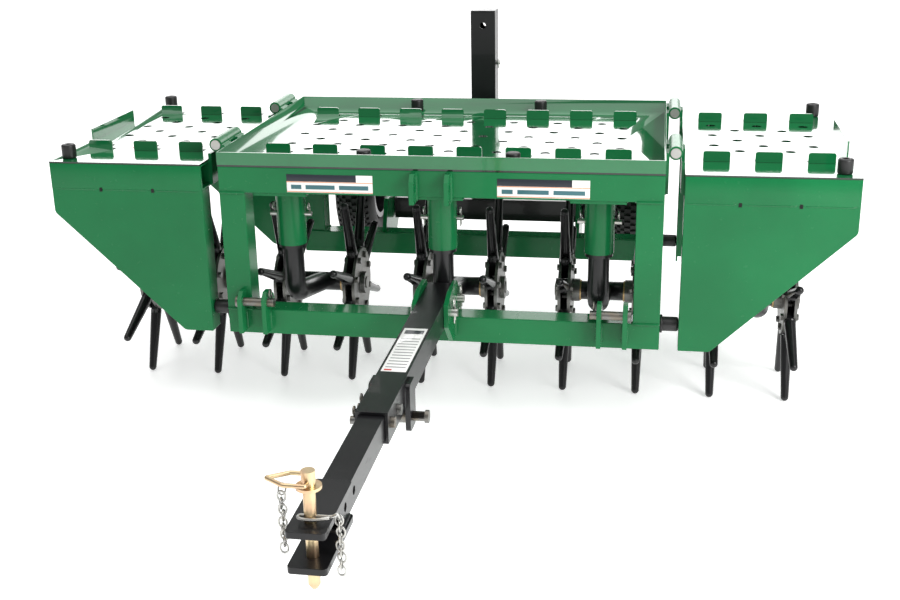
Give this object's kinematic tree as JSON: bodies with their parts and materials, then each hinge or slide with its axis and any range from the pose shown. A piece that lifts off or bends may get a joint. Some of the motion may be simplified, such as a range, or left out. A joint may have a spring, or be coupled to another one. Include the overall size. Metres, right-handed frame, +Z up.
{
  "type": "core aerator",
  "caption": "Towed core aerator: a weight tray on a frame with two folding wings, caster heads with spoon wheels, a pinned draw tube and lever-lowered transport wheels.",
  "frame": {"origin": "on the ground under the middle of the machine's overall length and width, with the spoons standing on the ground", "axes": "+X to the right seen from behind, +Y from the hitch to the transport wheels, +Z up"},
  "size_m": [1.54, 1.998, 0.7373],
  "materials": {
    "green_paint": "glossy",
    "black_paint": "satin",
    "zinc": "satin",
    "yellow_zinc": "satin",
    "bronze": "satin",
    "rubber": "matte",
    "tyre": "matte"
  },
  "bodies": {
    "frame": {"centre_frame": "green_paint", "centre_tray": "green_paint", "caster_sockets": "green_paint", "socket_pins": "zinc", "tray_bumpers": "rubber", "side_bumpers": "rubber", "top_link_ears": "green_paint", "lower_link_ears": "green_paint", "lower_link_pins": "zinc", "drawbar_ears": "green_paint", "drawbar_pins": "zinc", "draw_tube_outer": "black_paint", "draw_tube_inner": "black_paint", "draw_tube_pins": "zinc", "stand_bracket": "black_paint", "hitch_clevis": "black_paint", "hinge_leaves": "green_paint", "hinge_pins": "zinc", "lift_pivot_brackets": "green_paint"},
    "left_wing": {"left_wing_frame": "green_paint", "left_wing_deck": "green_paint", "left_wing_hinge_leaves": "green_paint", "left_wing_socket": "green_paint", "left_wing_socket_pin": "zinc", "left_wing_bumpers": "rubber"},
    "right_wing": {"right_wing_frame": "green_paint", "right_wing_deck": "green_paint", "right_wing_hinge_leaves": "green_paint", "right_wing_socket": "green_paint", "right_wing_socket_pin": "zinc", "right_wing_bumpers": "rubber"},
    "caster_1": {"caster_arm_1": "black_paint", "axle_bushes_1": "bronze"},
    "tine_wheels_1": {"tine_axle_1": "zinc", "tine_spoons_1": "black_paint"},
    "caster_2": {"caster_arm_2": "black_paint", "axle_bushes_2": "bronze"},
    "tine_wheels_2": {"tine_axle_2": "zinc", "tine_spoons_2": "black_paint"},
    "caster_3": {"caster_arm_3": "black_paint", "axle_bushes_3": "bronze"},
    "tine_wheels_3": {"tine_axle_3": "zinc", "tine_spoons_3": "black_paint"},
    "caster_4": {"caster_arm_4": "black_paint", "axle_bushes_4": "bronze"},
    "tine_wheels_4": {"tine_axle_4": "zinc", "tine_spoons_4": "black_paint"},
    "caster_5": {"caster_arm_5": "black_paint", "axle_bushes_5": "bronze"},
    "tine_wheels_5": {"tine_axle_5": "zinc", "tine_spoons_5": "black_paint"},
    "lift": {"lift_shaft": "black_paint", "lift_lever": "black_paint"},
    "left_transport_wheel": {"left_tyre": "tyre", "left_rim": "black_paint"},
    "right_transport_wheel": {"right_tyre": "tyre", "right_rim": "black_paint"},
    "hitch_pin": {"hitch_pin": "yellow_zinc", "pin_chain": "zinc"},
    "hitch_handle": {"hitch_handle": "yellow_zinc"}
  },
  "joints": [
    {"name": "left_wing_fold", "type": "hinge", "parent": "frame", "child": "left_wing", "pos_m": [-0.4425, 0.251, 0.54632], "axis": [0, 1, 0], "range_deg": [0, 180]},
    {"name": "right_wing_fold", "type": "hinge", "parent": "frame", "child": "right_wing", "pos_m": [0.4425, 0.251, 0.54632], "axis": [0, -1, 0], "range_deg": [0, 180]},
    {"name": "caster_swivel_1", "type": "hinge", "parent": "left_wing", "child": "caster_1", "pos_m": [-0.6096, 0.016, 0.40252], "axis": [0, 0, 1], "range_deg": [-6, 6]},
    {"name": "caster_swivel_2", "type": "hinge", "parent": "frame", "child": "caster_2", "pos_m": [-0.3048, 0.016, 0.40252], "axis": [0, 0, 1], "range_deg": [-6, 6]},
    {"name": "caster_swivel_3", "type": "hinge", "parent": "frame", "child": "caster_3", "pos_m": [0, 0.016, 0.40252], "axis": [0, 0, 1], "range_deg": [-6, 6]},
    {"name": "caster_swivel_4", "type": "hinge", "parent": "frame", "child": "caster_4", "pos_m": [0.3048, 0.016, 0.40252], "axis": [0, 0, 1], "range_deg": [-6, 6]},
    {"name": "caster_swivel_5", "type": "hinge", "parent": "right_wing", "child": "caster_5", "pos_m": [0.6096, 0.016, 0.40252], "axis": [0, 0, 1], "range_deg": [-6, 6]},
    {"name": "tine_spin_1", "type": "hinge", "parent": "caster_1", "child": "tine_wheels_1", "pos_m": [-0.6096, 0.22, 0.19832], "axis": [1, 0, 0], "continuous": true},
    {"name": "tine_spin_2", "type": "hinge", "parent": "caster_2", "child": "tine_wheels_2", "pos_m": [-0.3048, 0.22, 0.19832], "axis": [1, 0, 0], "continuous": true},
    {"name": "tine_spin_3", "type": "hinge", "parent": "caster_3", "child": "tine_wheels_3", "pos_m": [0, 0.22, 0.19832], "axis": [1, 0, 0], "continuous": true},
    {"name": "tine_spin_4", "type": "hinge", "parent": "caster_4", "child": "tine_wheels_4", "pos_m": [0.3048, 0.22, 0.19832], "axis": [1, 0, 0], "continuous": true},
    {"name": "tine_spin_5", "type": "hinge", "parent": "caster_5", "child": "tine_wheels_5", "pos_m": [0.6096, 0.22, 0.19832], "axis": [1, 0, 0], "continuous": true},
    {"name": "lift_swing", "type": "hinge", "parent": "frame", "child": "lift", "pos_m": [0, 0.634, 0.26332], "axis": [-1, 0, 0], "range_deg": [0, 60]},
    {"name": "left_transport_spin", "type": "hinge", "parent": "lift", "child": "left_transport_wheel", "pos_m": [-0.35, 0.839, 0.26332], "axis": [1, 0, 0], "continuous": true},
    {"name": "right_transport_spin", "type": "hinge", "parent": "lift", "child": "right_transport_wheel", "pos_m": [0.35, 0.839, 0.26332], "axis": [1, 0, 0], "continuous": true},
    {"name": "hitch_pin_pull", "type": "slide", "parent": "frame", "child": "hitch_pin", "axis": [0, 0, 1], "range_m": [0, 0.13]},
    {"name": "hitch_handle_flip", "type": "hinge", "parent": "hitch_pin", "child": "hitch_handle", "pos_m": [0, -0.968, 0.34142], "axis": [0, 1, 0], "range_deg": [0, 180]}
  ]
}
